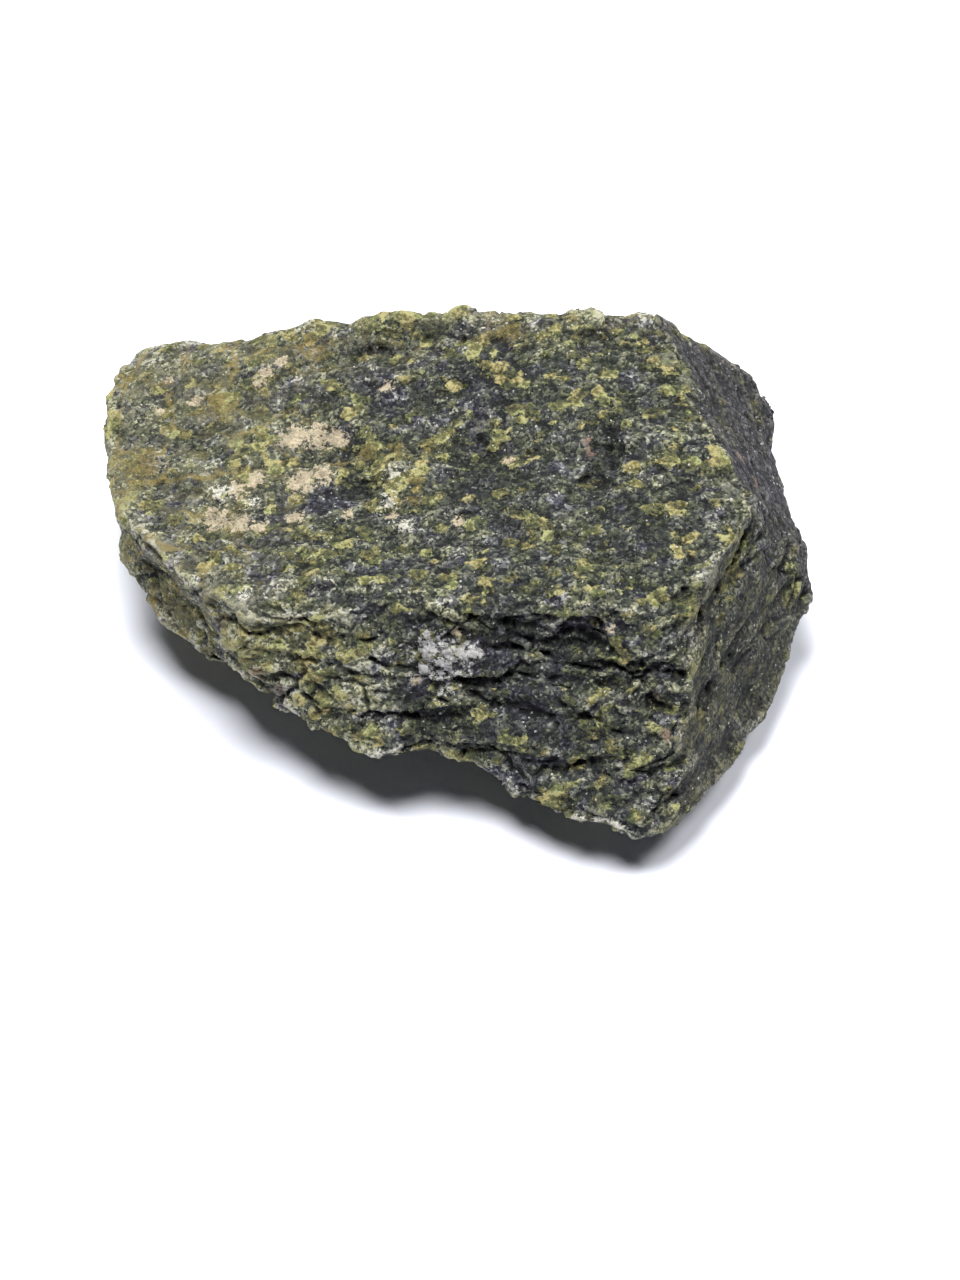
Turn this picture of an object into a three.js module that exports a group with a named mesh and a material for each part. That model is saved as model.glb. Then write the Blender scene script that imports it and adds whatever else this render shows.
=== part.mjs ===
// A raw lump of serpentine rock, broken out of the bed and left as it broke: one piece of stone
// with a broad upper face along its layers, a stepped front, two steep faces on the right, undercut
// flanks and a flat foot below. Units are millimetres. +X runs along the stone's length, +Y towards
// its back and +Z up. The origin is the middle of the stone's bounding box, on the surface that it
// rests on.
import {
  Box3, BufferGeometry, Float32BufferAttribute, Group, Line3, MathUtils, Mesh, MeshStandardMaterial,
  Quaternion, ShapeUtils, Vector3,
} from "three";
import { ImprovedNoise } from "three/addons/math/ImprovedNoise.js";

// ---- driving dimensions -------------------------------------------------------------------------

const SWELL = { size: 24, height: 0.9 }; // broad waves of a broken face
const LUMP = { size: 11, height: 1.0 }; // lumps that a finger can feel, drawn out along the layers
const KNOB = { size: 4.5, height: 0.6 }; // the coarse grain
const WEAR_ROUNDS = 3; // in each, a ridge gives way by the wear of the more worn face beside it

// The rock's layers lie across this direction. It parts at these heights along it, and breaks back
// in steps there, each with a lip over a narrow groove. A step wanders up and down and fades in and
// out along the face.
const ACROSS_LAYERS = new Vector3(-0.115, -0.12, 1).normalize();
const partings = [4.5, 8.5, 12, 15.5, 20.3, 23, 25.6, 28.8, 32, 35, 37.5, 41];
const STEP = { lip: 0.7, groove: 1.5, gap: 0.9, wander: 2.2, jitter: 1.2, fade: 6 };
const FLATTENING = 0.5; // how much thinner the lumps are across the layers
const FINER_BY_HOLLOWS = 0.7; // how much smaller the facets are in and beside a hollow

// ---- corners of the stone, each [x, y, z], in the order they are met walking round it -----------

// The crest round the upper face, anticlockwise from its front left corner.
const crestFront = [
  [-32, -12, 25], [-19, -11, 27], [-4, -13, 28], [14, -14, 30], [26, -16, 30], [33, -14, 31],
];
const crestRight = [[38, -7, 32], [43, 2, 33], [40, 11, 34], [34, 23, 35], [30, 36, 36], [29, 40, 37]];
const crestBack = [[15, 39, 38], [0, 39, 37], [-11, 40, 35], [-25, 40, 32], [-35, 41.5, 29], [-50, 44.5, 26]];
const crestLeft = [[-55, 40, 25], [-55.5, 21, 22], [-52.5, 13, 22], [-44, 0, 24], [-36, -8, 25]];

// The blunt nose between the front and the right-hand side, from the crest down.
const nose = [[32, -21, 25], [33, -27, 20], [29, -33, 14]];

// Where the front turns from its shoulder to its lower part, from the left end to the nose.
const belt = [
  [-33, -14.5, 20], [-22, -17, 20], [-12, -19, 20], [-2, -20, 20], [8, -21, 20], [18, -23.5, 20.5],
  [27, -25.5, 21],
];

// The lower edge of the faces that overhang, from the left end round the front to the right end
// and up.
const footLeft = [[-52, 10, 19], [-50, 5, 15], [-47, 0, 11], [-43, -4, 9], [-36, -9.5, 8.5]];
const footFront = [
  [-33, -11, 9], [-30, -16.5, 11], [-22, -23.5, 12], [-13, -26, 11.5], [-5, -26.5, 11], [3, -29, 10],
  [10, -33.7, 8], [17, -37.8, 8], [25, -39.5, 8],
];
const footRight = [
  [32.5, -35.5, 7], [40, -26, 6], [47, -13, 6], [51, -3, 8], [54, 3, 11], [52, 10, 15], [50, 17, 16],
];

// The outer edge of the right-hand rear face, from the right end back to the crest.
const brow = [[49, 28, 14], [50, 39, 15], [47, 42, 19], [42, 41, 25], [35, 39.5, 31]];

// The bulge of the back and of the left flank, from the right end round to the left front.
const bulgeBack = [
  [45, 42, 11], [32, 45, 17], [16, 45, 20], [0, 45, 22], [-18, 46, 18], [-36, 44, 16], [-49, 40, 13],
];
const bulgeLeft = [[-51, 28, 10], [-48, 12, 8]];

// The foot that the stone rests on, anticlockwise from its front left corner.
const sole = [
  [-26, 3, 0], [-14, -3, 0], [0, -8, 0], [12, -20, 0], [24, -29, 0], [32, -26, 0], [38, -15, 0], [43, -4, 0],
  [44, 12, 0], [40, 25, 0], [28, 33, 0], [15, 31, 0], [-4, 36, 0], [-20, 35, 0], [-33, 28, 0], [-37, 18, 0],
  [-33, 8, 0],
];

// Pits, scars and gaping seams that are larger than the grain, each a rounded trough between two
// places.
const hollows = [
  { from: [-45, 14, 24], to: [-43, 13, 24], radius: 3.5, depth: 1.2 },
  { from: [-46, 33, 25], to: [-45, 34, 25], radius: 3, depth: 0.8 },
  { from: [-24, 18, 28], to: [-16, 19, 29], radius: 3, depth: 1 },
  { from: [-19, 34, 32], to: [-11, 34, 33], radius: 3, depth: 1.2 },
  { from: [-9, 35, 33], to: [-1, 35, 35], radius: 3, depth: 1.4 },
  { from: [3, 13, 32], to: [8, 12, 32], radius: 6, depth: 0.8 },
  { from: [21, 32, 36], to: [26, 28, 35], radius: 4, depth: 1.4 },
  { from: [22, 15, 33], to: [21, 9, 32], radius: 2.6, depth: 1.3 },
  { from: [0, -15, 25], to: [18, -17, 25], radius: 2.8, depth: 1.5 },
  { from: [15, -21, 21], to: [22, -22, 22], radius: 2.4, depth: 1 },
  { from: [4, -22, 16], to: [10, -24, 18], radius: 2.4, depth: 0.9 },
  { from: [13, -30, 11], to: [20, -31, 14], radius: 2.2, depth: 0.9 },
  { from: [-29, -14, 22], to: [-21, -16, 22], radius: 2.2, depth: 0.5 },
  { from: [28, -24, 21], to: [30, -26, 18], radius: 4, depth: 1.2 },
  { from: [36, -13, 27], to: [37, -13, 24], radius: 3, depth: 1.2 },
  { from: [43, -2, 29], to: [38, -10, 27], radius: 2.6, depth: 1.1 },
  { from: [40, -14, 17], to: [41, -12, 15], radius: 2.8, depth: 1.1 },
  { from: [35, -20, 19], to: [36, -22, 17], radius: 3, depth: 1.1 },
  { from: [46, 34, 19], to: [47, 30, 18], radius: 2.6, depth: 1 },
  { from: [-34, -10, 10], to: [-36, -9, 13], radius: 3, depth: 1.5 },
  { from: [-46, 3, 18], to: [-40, -4, 15], radius: 3, depth: 1.2 },
  { from: [-53, 28, 16], to: [-51, 20, 14], radius: 4, depth: 1.4 },
  { from: [-30, 44, 21], to: [-16, 45, 24], radius: 3.5, depth: 1.5 },
  { from: [2, 45, 25], to: [18, 43, 28], radius: 4, depth: 1.7 },
];

const backwards = (corners) => [...corners].reverse();
const frontCorner = crestFront[0];
const noseTop = crestFront.at(-1);
const noseFoot = footFront.at(-1);
const rightPeak = crestRight[1];
const backPeak = crestRight.at(-1);
const leftPeak = crestBack.at(-1);
const underLeft = footLeft[2];
const underRight = footRight.at(-1);
const backLeft = bulgeBack.at(-1);

// ---- the broken faces ---------------------------------------------------------------------------

// Each face is a loop of corners, anticlockwise seen from outside, with its largest facet, how
// strongly it is stepped and lumpy, and how far its ridges are worn round.
const faces = {
  upper: {
    loop: [...crestFront, ...crestRight, ...crestBack, ...crestLeft],
    facet: 4.4, steps: 0.45, lumps: 0.9, wear: 0.05,
  },
  shoulder: {
    loop: [...belt, nose[1], nose[0], ...backwards(crestFront)],
    facet: 3.4, steps: 0.15, lumps: 1, wear: 0.6,
  },
  front: {
    loop: [...footFront.slice(1), nose[2], nose[1], ...backwards(belt)],
    facet: 3.4, steps: 0.25, lumps: 1.1, wear: 0.3,
  },
  rightFront: {
    loop: [noseFoot, ...footRight, rightPeak, crestRight[0], noseTop, ...nose],
    facet: 3.8, steps: 0.3, lumps: 1.2, wear: 0.08,
  },
  rightRear: {
    loop: [rightPeak, underRight, ...brow, ...backwards(crestRight.slice(2))],
    facet: 4.2, steps: 0.3, lumps: 0.5, wear: 0.05,
  },
  leftFront: {
    loop: [
      ...footLeft, footFront[0], footFront[1], belt[0], frontCorner, ...backwards(crestLeft.slice(2)),
    ],
    facet: 3.8, steps: 0.3, lumps: 0.9, wear: 0.1,
  },
  leftFlank: {
    loop: [
      backLeft, ...bulgeLeft, underLeft, ...backwards(footLeft.slice(0, 2)),
      ...backwards(crestLeft.slice(0, 3)), leftPeak,
    ],
    facet: 5.6, steps: 0.7, lumps: 1, wear: 0.4,
  },
  back: {
    loop: [...bulgeBack, ...backwards(crestBack), backPeak, ...backwards(brow.slice(2))],
    facet: 5.6, steps: 0.9, lumps: 1, wear: 0.4,
  },
  rightFlank: {
    loop: [...backwards(brow.slice(0, 3)), underRight, sole[8], sole[9], bulgeBack[0]],
    facet: 5.6, steps: 0.7, lumps: 1, wear: 0.15,
  },
  underRight: {
    loop: [...backwards(footRight), noseFoot, ...sole.slice(4, 9)],
    facet: 6, steps: 0, lumps: 1.5, wear: 0.1,
  },
  underFront: {
    loop: [...backwards(footFront), ...backwards(footLeft.slice(2)), sole[16], ...sole.slice(0, 5)],
    facet: 6, steps: 0, lumps: 1.6, wear: 0.1,
  },
  underLeft: {
    loop: [underLeft, ...backwards(bulgeLeft), backLeft, ...sole.slice(14)],
    facet: 6, steps: 0, lumps: 1.6, wear: 0.3,
  },
  underBack: {
    loop: [...backwards(bulgeBack), ...sole.slice(9, 15)],
    facet: 6, steps: 0, lumps: 1.6, wear: 0.3,
  },
  sole: { loop: backwards(sole), facet: 14, steps: 0, lumps: 0, wear: 0 },
};

const troughs = hollows.map(({ from, to, radius, depth }) => {
  return { line: new Line3(new Vector3(...from), new Vector3(...to)), radius, depth };
});
const nearest = new Vector3();
const distanceTo = (line, p) => line.closestPointToPoint(p, true, nearest).distanceTo(p);
const nearHollow = (p) => troughs.some(({ line, radius }) => distanceTo(line, p) < 1.3 * radius);

// How deep the hollows are at a place.
const hollowAt = (p) => troughs.reduce((deepest, { line, radius, depth }) => {
  const reach = MathUtils.smoothstep(1.3 * radius - distanceTo(line, p), 0, 1.3 * radius);
  return Math.max(deepest, depth * reach);
}, 0);

// ---- a skin of triangles with shared points -----------------------------------------------------

const points = []; // each a Vector3
const triangles = new Set(); // each { corners: [a, b, c], face }
const sides = new Map(); // the triangle to the left of the way from point a to point b
const side = (a, b) => a * 65536 + b;

function addTriangle(a, b, c, face) {
  const triangle = { corners: [a, b, c], face };
  triangles.add(triangle);
  [side(a, b), side(b, c), side(c, a)].forEach((way) => sides.set(way, triangle));
}

function dropTriangle(triangle) {
  const [a, b, c] = triangle.corners;
  triangles.delete(triangle);
  [side(a, b), side(b, c), side(c, a)].forEach((way) => sides.delete(way));
}

const thirdCorner = (triangle, a, b) => triangle.corners.find((corner) => corner !== a && corner !== b);

// Every edge once, as [a, b, the triangle to its left, the triangle to its right].
function* edges() {
  for (const triangle of [...triangles]) {
    for (let i = 0; i < 3; i++) {
      const a = triangle.corners[i];
      const b = triangle.corners[(i + 1) % 3];
      if (a < b) yield [a, b, triangle, sides.get(side(b, a))];
    }
  }
}

// Puts a point on an edge, joins it to the corners on both sides and returns its number.
function splitEdge(a, b, share) {
  const middle = points.push(points[a].clone().lerp(points[b], share)) - 1;
  for (const [from, to] of [[a, b], [b, a]]) {
    const triangle = sides.get(side(from, to));
    const corner = thirdCorner(triangle, a, b);
    dropTriangle(triangle);
    addTriangle(from, middle, corner, triangle.face);
    addTriangle(middle, to, corner, triangle.face);
  }
  return middle;
}

// Fills each face's loop with triangles, each cut in six round its centre. Points on the loops are
// shared, so the faces meet edge to edge, but two faces never share a line that lies inside them.
function coverFaces() {
  const numbers = new Map();
  const middles = new Map();
  for (const [name, face] of Object.entries(faces)) {
    const loop = face.loop.map((corner) => {
      if (!numbers.has(corner)) {
        numbers.set(corner, points.push(new Vector3(...corner)) - 1);
      }
      return numbers.get(corner);
    });
    const middleOf = (i, j) => {
      const apart = Math.abs(i - j);
      const owner = apart === 1 || apart === loop.length - 1 ? "loop" : name;
      const [a, b] = [loop[i], loop[j]].sort((one, other) => one - other);
      const key = `${owner} ${a} ${b}`;
      if (!middles.has(key)) {
        middles.set(key, points.push(points[a].clone().lerp(points[b], 0.5)) - 1);
      }
      return middles.get(key);
    };
    const normal = new Vector3();
    const turn = new Vector3();
    loop.forEach((a, i) => {
      const next = loop[(i + 1) % loop.length];
      normal.add(turn.crossVectors(points[a], points[next]));
    });
    const flatten = new Quaternion().setFromUnitVectors(normal.normalize(), new Vector3(0, 0, 1));
    const outline = loop.map((a) => points[a].clone().applyQuaternion(flatten));
    for (const [i, j, k] of ShapeUtils.triangulateShape(outline, [])) {
      const ring = [loop[i], middleOf(i, j), loop[j], middleOf(j, k), loop[k], middleOf(k, i)];
      const sum = new Vector3();
      [i, j, k].forEach((corner) => sum.add(points[loop[corner]]));
      const centre = points.push(sum.divideScalar(3)) - 1;
      ring.forEach((a, n) => addTriangle(a, ring[(n + 1) % 6], centre, face));
    }
  }
}

const angleAt = (corner, a, b) => {
  const toA = points[a].clone().sub(points[corner]);
  return toA.angleTo(points[b].clone().sub(points[corner]));
};

// Turns the edges inside a face that make thin triangles.
function turnEdges() {
  for (const [a, b, left, right] of edges()) {
    if (!triangles.has(left) || !triangles.has(right) || left.face !== right.face) continue;
    const c = thirdCorner(left, a, b);
    const d = thirdCorner(right, a, b);
    if (sides.has(side(c, d)) || sides.has(side(d, c))) continue;
    if (angleAt(c, a, b) + angleAt(d, a, b) <= Math.PI + 0.01) continue;
    dropTriangle(left);
    dropTriangle(right);
    addTriangle(a, d, c, left.face);
    addTriangle(d, b, c, left.face);
  }
}

// For each point, the points next to it and the faces it belongs to.
function surroundings() {
  const around = points.map(() => ({ near: new Set(), faces: new Set() }));
  for (const { corners, face } of triangles) {
    for (const corner of corners) {
      corners.forEach((other) => other !== corner && around[corner].near.add(other));
      around[corner].faces.add(face);
    }
  }
  return around;
}

// Moves points towards the middle of their neighbours. The share to move by depends on the faces a
// point is on.
function relax(shareOf) {
  const around = surroundings();
  const places = points.map((point) => point.clone());
  around.forEach(({ near, faces: on }, i) => {
    const sum = [...near].reduce((total, n) => total.add(places[n]), new Vector3());
    points[i].lerp(sum.divideScalar(near.size), shareOf(on));
  });
}

// Cuts long edges until each face is down to its own facets, and keeps them even inside their face.
function refine() {
  const insideOnly = (on) => (on.size > 1 ? 0 : 0.7);
  for (let round = 0; round < 9; round++) {
    const long = [];
    for (const [a, b, left, right] of edges()) {
      const finer = nearHollow(points[a]) ? FINER_BY_HOLLOWS : 1;
      const facet = Math.min(left.face.facet, right.face.facet) * finer;
      const length = points[a].distanceTo(points[b]);
      if (length > facet) long.push({ a, b, excess: length / facet });
    }
    long.sort((one, other) => other.excess - one.excess);
    for (const { a, b } of long) {
      if (sides.has(side(a, b))) splitEdge(a, b, 0.5);
    }
    turnEdges();
    turnEdges();
    relax(insideOnly);
    relax(insideOnly);
  }
}

// ---- relief -------------------------------------------------------------------------------------

const grain = new ImprovedNoise();

function wave(p, size, shift) {
  return grain.noise(p.x / size + shift, p.y / size - shift, p.z / size + 2 * shift);
}

// The height of a place across the layers, which wander a little.
function heightInBed(p) {
  return p.dot(ACROSS_LAYERS) + STEP.wander * wave(p, 21, 3.3) + STEP.jitter * wave(p, 7, 6.1);
}

// Cuts the skin along both edges of every step, so that the steps stay crisp. Returns each point's
// height in the bed.
function cutSteps() {
  const levels = partings.flatMap((parting) => [parting - STEP.gap, parting]);
  const heights = points.map((p) => {
    const height = heightInBed(p);
    return levels.find((level) => Math.abs(level - height) < STEP.gap / 3) ?? height;
  });
  for (const level of levels) {
    for (const [a, b, left, right] of edges()) {
      if (left.face.steps === 0 || right.face.steps === 0) continue;
      if ((heights[a] - level) * (heights[b] - level) >= 0) continue;
      heights[splitEdge(a, b, (level - heights[a]) / (heights[b] - heights[a]))] = level;
    }
  }
  return heights;
}

// How far the steps make a place stand out: a lip just above each parting and a groove just below
// it. Each parting opens and closes along the face in its own way.
function stepAt(height, p) {
  const next = partings.findIndex((parting) => parting > height + 1e-6);
  if (next < 1) return 0;
  const openness = (number) => {
    return MathUtils.clamp(0.3 + 2.4 * wave(p, STEP.fade, 7.1 + 3.7 * number), 0, 1);
  };
  const lipBelow = STEP.lip * openness(next - 1);
  const lipAbove = STEP.lip * openness(next);
  const groove = -STEP.groove * openness(next);
  const gapStart = partings[next] - STEP.gap;
  return height > gapStart
    ? MathUtils.mapLinear(height, gapStart, partings[next], groove, lipAbove)
    : MathUtils.mapLinear(height, partings[next - 1], gapStart, lipBelow, groove);
}

// Pushes every point out or in along its face, and both ways where two faces meet.
function roughen(heights) {
  const directions = points.map(() => new Map());
  for (const { corners, face } of triangles) {
    const [a, b, c] = corners.map((corner) => points[corner]);
    const outward = new Vector3().crossVectors(b.clone().sub(a), c.clone().sub(a));
    for (const corner of corners) {
      const known = directions[corner];
      known.set(face, (known.get(face) ?? new Vector3()).add(outward));
    }
  }
  const moves = points.map((p, i) => {
    const steps = stepAt(heights[i], p);
    const flat = p.clone().addScaledVector(ACROSS_LAYERS, FLATTENING * p.dot(ACROSS_LAYERS));
    const swell = SWELL.height * wave(p, SWELL.size, 9.4);
    const lump = LUMP.height * wave(flat, LUMP.size, 1.7);
    const knob = KNOB.height * wave(flat, KNOB.size, 5.2);
    const hollow = hollowAt(p);
    const lift = Math.min(1, p.z / 4) / Math.sqrt(directions[i].size);
    const move = new Vector3();
    for (const [face, outward] of directions[i]) {
      const out = face.steps * steps + face.lumps * (swell + lump + knob) - hollow;
      move.addScaledVector(outward.normalize(), lift * out);
    }
    return move;
  });
  points.forEach((p, i) => {
    p.add(moves[i]);
    p.z = Math.max(p.z, 0);
  });
}

// ---- the stone ----------------------------------------------------------------------------------

function makeStone() {
  coverFaces();
  refine();
  const wearOf = (on) => Math.max(...[...on].map((face) => face.wear));
  for (let round = 0; round < WEAR_ROUNDS; round++) {
    relax((on) => (on.size === 1 || on.has(faces.sole) ? 0 : wearOf(on)));
  }
  roughen(cutSteps());

  const middle = new Box3().setFromPoints(points).getCenter(new Vector3()).setZ(0);
  const places = points.flatMap((p) => p.clone().sub(middle).toArray());
  const geometry = new BufferGeometry();
  geometry.setAttribute("position", new Float32BufferAttribute(places, 3));
  geometry.setIndex([...triangles].flatMap((triangle) => triangle.corners));
  geometry.computeVertexNormals();
  const rock = new MeshStandardMaterial({ color: "#6a695b", roughness: 0.72, metalness: 0 });
  rock.flatShading = true;
  const stone = new Mesh(geometry, rock);
  stone.name = "serpentine_stone";
  return stone;
}

const specimen = new Group();
specimen.add(makeStone());

export default specimen;
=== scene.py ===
import math

import bmesh
import bpy
import numpy as np
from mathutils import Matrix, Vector


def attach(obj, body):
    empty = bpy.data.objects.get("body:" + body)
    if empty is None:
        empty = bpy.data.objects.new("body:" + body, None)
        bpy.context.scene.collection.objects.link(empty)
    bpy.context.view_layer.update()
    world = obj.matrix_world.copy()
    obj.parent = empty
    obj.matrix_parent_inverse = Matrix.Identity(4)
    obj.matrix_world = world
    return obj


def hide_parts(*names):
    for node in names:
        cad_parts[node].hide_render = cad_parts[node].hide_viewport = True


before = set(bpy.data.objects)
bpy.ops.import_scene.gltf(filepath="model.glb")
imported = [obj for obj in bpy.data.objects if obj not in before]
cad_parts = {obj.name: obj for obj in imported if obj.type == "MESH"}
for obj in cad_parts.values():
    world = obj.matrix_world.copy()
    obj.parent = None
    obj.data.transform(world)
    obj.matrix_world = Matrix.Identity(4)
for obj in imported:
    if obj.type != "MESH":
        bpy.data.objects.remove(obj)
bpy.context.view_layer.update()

scene = bpy.context.scene
MM = 0.001

# ---- the stone ---------------------------------------------------------------------------------
# One lump of raw serpentinite, knocked out of its bed with a hammer and left as it broke. It is
# dark antigorite with olive flecks of altered olivine, and it splits along its layers into flakes
# and small steps. Nothing on it is cut, ground or polished.

STONE_NODE = "serpentine_stone"
LAYERS_ACROSS = (-0.113, -0.118, 0.986)  # the layers lie across this direction
TURN_TO_LAYERS = Vector(LAYERS_ACROSS).rotation_difference(Vector((0, 0, 1))).to_euler()
WELD_REACH = 0.002 * MM  # corners closer than this are one corner
SKIN_PITCH = 0.38 * MM  # spacing of the points that the broken surface is carved in
MOST_TRIANGLES = 192000  # what the carved skin is thinned to
GLINT_SLIVER_WIDTH = 0.55  # how far the glassy sliver and its painted glint reach to each side, in mm
EDGE_ROUNDS = 7  # rounds of neighbours that tell a small edge from its surroundings
RIM_ROUNDS = 60  # the same for the rim of a whole face


def even_skin(node):
    """A closed mesh of small even faces over a solid of the frame."""
    mesh = bpy.data.objects[node].data.copy()
    welded = bmesh.new()
    welded.from_mesh(mesh)
    bmesh.ops.remove_doubles(welded, verts=welded.verts, dist=WELD_REACH)
    welded.to_mesh(mesh)
    welded.free()
    mesh.materials.clear()
    skin = bpy.data.objects.new("serpentine_lump", mesh)
    scene.collection.objects.link(skin)
    even = skin.modifiers.new("even faces", "REMESH")
    even.mode = "VOXEL"
    even.voxel_size = SKIN_PITCH
    even.use_smooth_shade = True
    return skin


def bake_modifiers(piece):
    """Turns a piece with its modifiers into a plain mesh."""
    bpy.context.view_layer.update()
    evaluated = piece.evaluated_get(bpy.context.evaluated_depsgraph_get())
    mesh = bpy.data.meshes.new_from_object(evaluated)
    piece.modifiers.clear()
    piece.data = mesh
    mesh.name = piece.name


def places_of(mesh):
    """The mesh's points in mm, and which way each faces."""
    count = len(mesh.vertices)
    points = np.empty(3 * count)
    outward = np.empty(3 * count)
    mesh.vertices.foreach_get("co", points)
    mesh.vertices.foreach_get("normal", outward)
    return points.reshape(-1, 3) / MM, outward.reshape(-1, 3)


def move_to(mesh, points):
    """Puts the mesh's points at places in mm, with none below the surface that it rests on."""
    points[:, 2] = np.maximum(points[:, 2], 0)
    mesh.vertices.foreach_set("co", (points * MM).ravel())
    mesh.update()


def on_skin(points, place):
    """The mesh's own point that is nearest to a place."""
    return points[np.argmin(np.linalg.norm(points - place, axis=1))]


stone = even_skin(STONE_NODE)
bake_modifiers(stone)

# Seams where two layers gape, each a line of places in mm along the stepped front, the right-hand
# faces and the top, after how far it gapes and how deep it goes, both in mm.
seams = [
    (0.5, 1.0, [(-3.5, -16.5, 27), (3, -17, 26), (10, -19, 26), (17, -19.5, 26), (20.5, -21, 25.5)]),
    (0.45, 1.0, [(2.5, -19, 24), (6.5, -20.5, 23.5), (13.5, -21.5, 23)]),
    (0.5, 1.0, [(20.5, -21.5, 24.5), (24.5, -23.5, 24.5), (27.5, -24, 24.5)]),
    (0.4, 1.0, [(14.5, -24, 20.5), (20.5, -26, 21), (26.5, -26, 22)]),
    (0.4, 0.9, [(3.5, -25.5, 18), (9.5, -26.5, 17), (15.5, -29, 17.5)]),
    (0.5, 1.2, [(12.5, -34, 11.5), (16.5, -33.5, 12), (21.5, -33.5, 14)]),
    (0.45, 0.9, [(-27.5, -14.5, 24), (-23, -15.5, 24.5), (-20, -16.5, 24.5)]),
    (0.4, 0.8, [(-12, -21, 21.5), (-7, -22, 20.5), (-2, -22.5, 21)]),
    (0.4, 0.8, [(-22, -19, 20), (-17.5, -21, 20.5), (-14.5, -21.5, 20)]),
    (0.5, 1.2, [(43.5, -2.5, 29.5), (42.5, -4.5, 28), (40.5, -7, 27.5), (38.5, -11.5, 26.5)]),
    (0.8, 1.3, [(35, -17, 27), (34.5, -18.5, 26)]),
    (0.5, 0.9, [(40.5, -16, 17), (39, -19, 17.5)]),
    (0.3, 0.6, [(23, 12.5, 32.5), (23, 10, 31.5), (23, 8.5, 31)]),
    (0.4, 0.7, [(-4.5, 32.5, 33.5), (-1.5, 32.5, 34), (1.5, 31.5, 35)]),
    (0.35, 0.6, [(-17.5, 31.5, 31), (-14, 31.5, 32), (-10.5, 31.5, 32)]),
    (0.45, 0.7, [(35, 15, 34.5), (36.5, 12.5, 34.5)]),
    (0.7, 0.8, [(-25.5, 13.5, 26.5), (-21, 12.5, 27.5), (-16.5, 13.5, 28)]),
]


def distance_to_line(points, line):
    """How far each point is from the nearest stretch of a line of places."""
    nearest = np.full(len(points), np.inf)
    for start, end in zip(line, line[1:]):
        along = end - start
        share = np.clip((points - start) @ along / (along @ along), 0, 1)
        nearest = np.minimum(nearest, np.linalg.norm(points - start - share[:, None] * along, axis=1))
    return nearest


def wander(points, size, phase):
    """A slow wave in three directions that keeps a line from running straight."""
    one_turn = 6.28
    turns = points[:, [1, 2, 0]] * (one_turn / size)
    return np.sin(turns + phase) + 0.5 * np.sin(2.3 * turns[:, [2, 0, 1]] + 2 * phase)


def open_seams(mesh):
    """Presses each seam into the skin as a narrow, crooked groove that opens and closes."""
    points, outward = places_of(mesh)
    crooked = points + 0.4 * wander(points, size=5.0, phase=0.7)
    open_share = 0.65 + 0.3 * wander(points, size=4.0, phase=2.1)[:, 0]
    inward = np.zeros(len(points))
    for gape, depth, line in seams:
        line = [on_skin(crooked, np.array(place)) for place in line]
        near = distance_to_line(crooked, line)
        inward = np.maximum(inward, depth * open_share * np.exp(-(near / gape) ** 2))
    move_to(mesh, points - outward * inward[:, None])


open_seams(stone.data)
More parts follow.
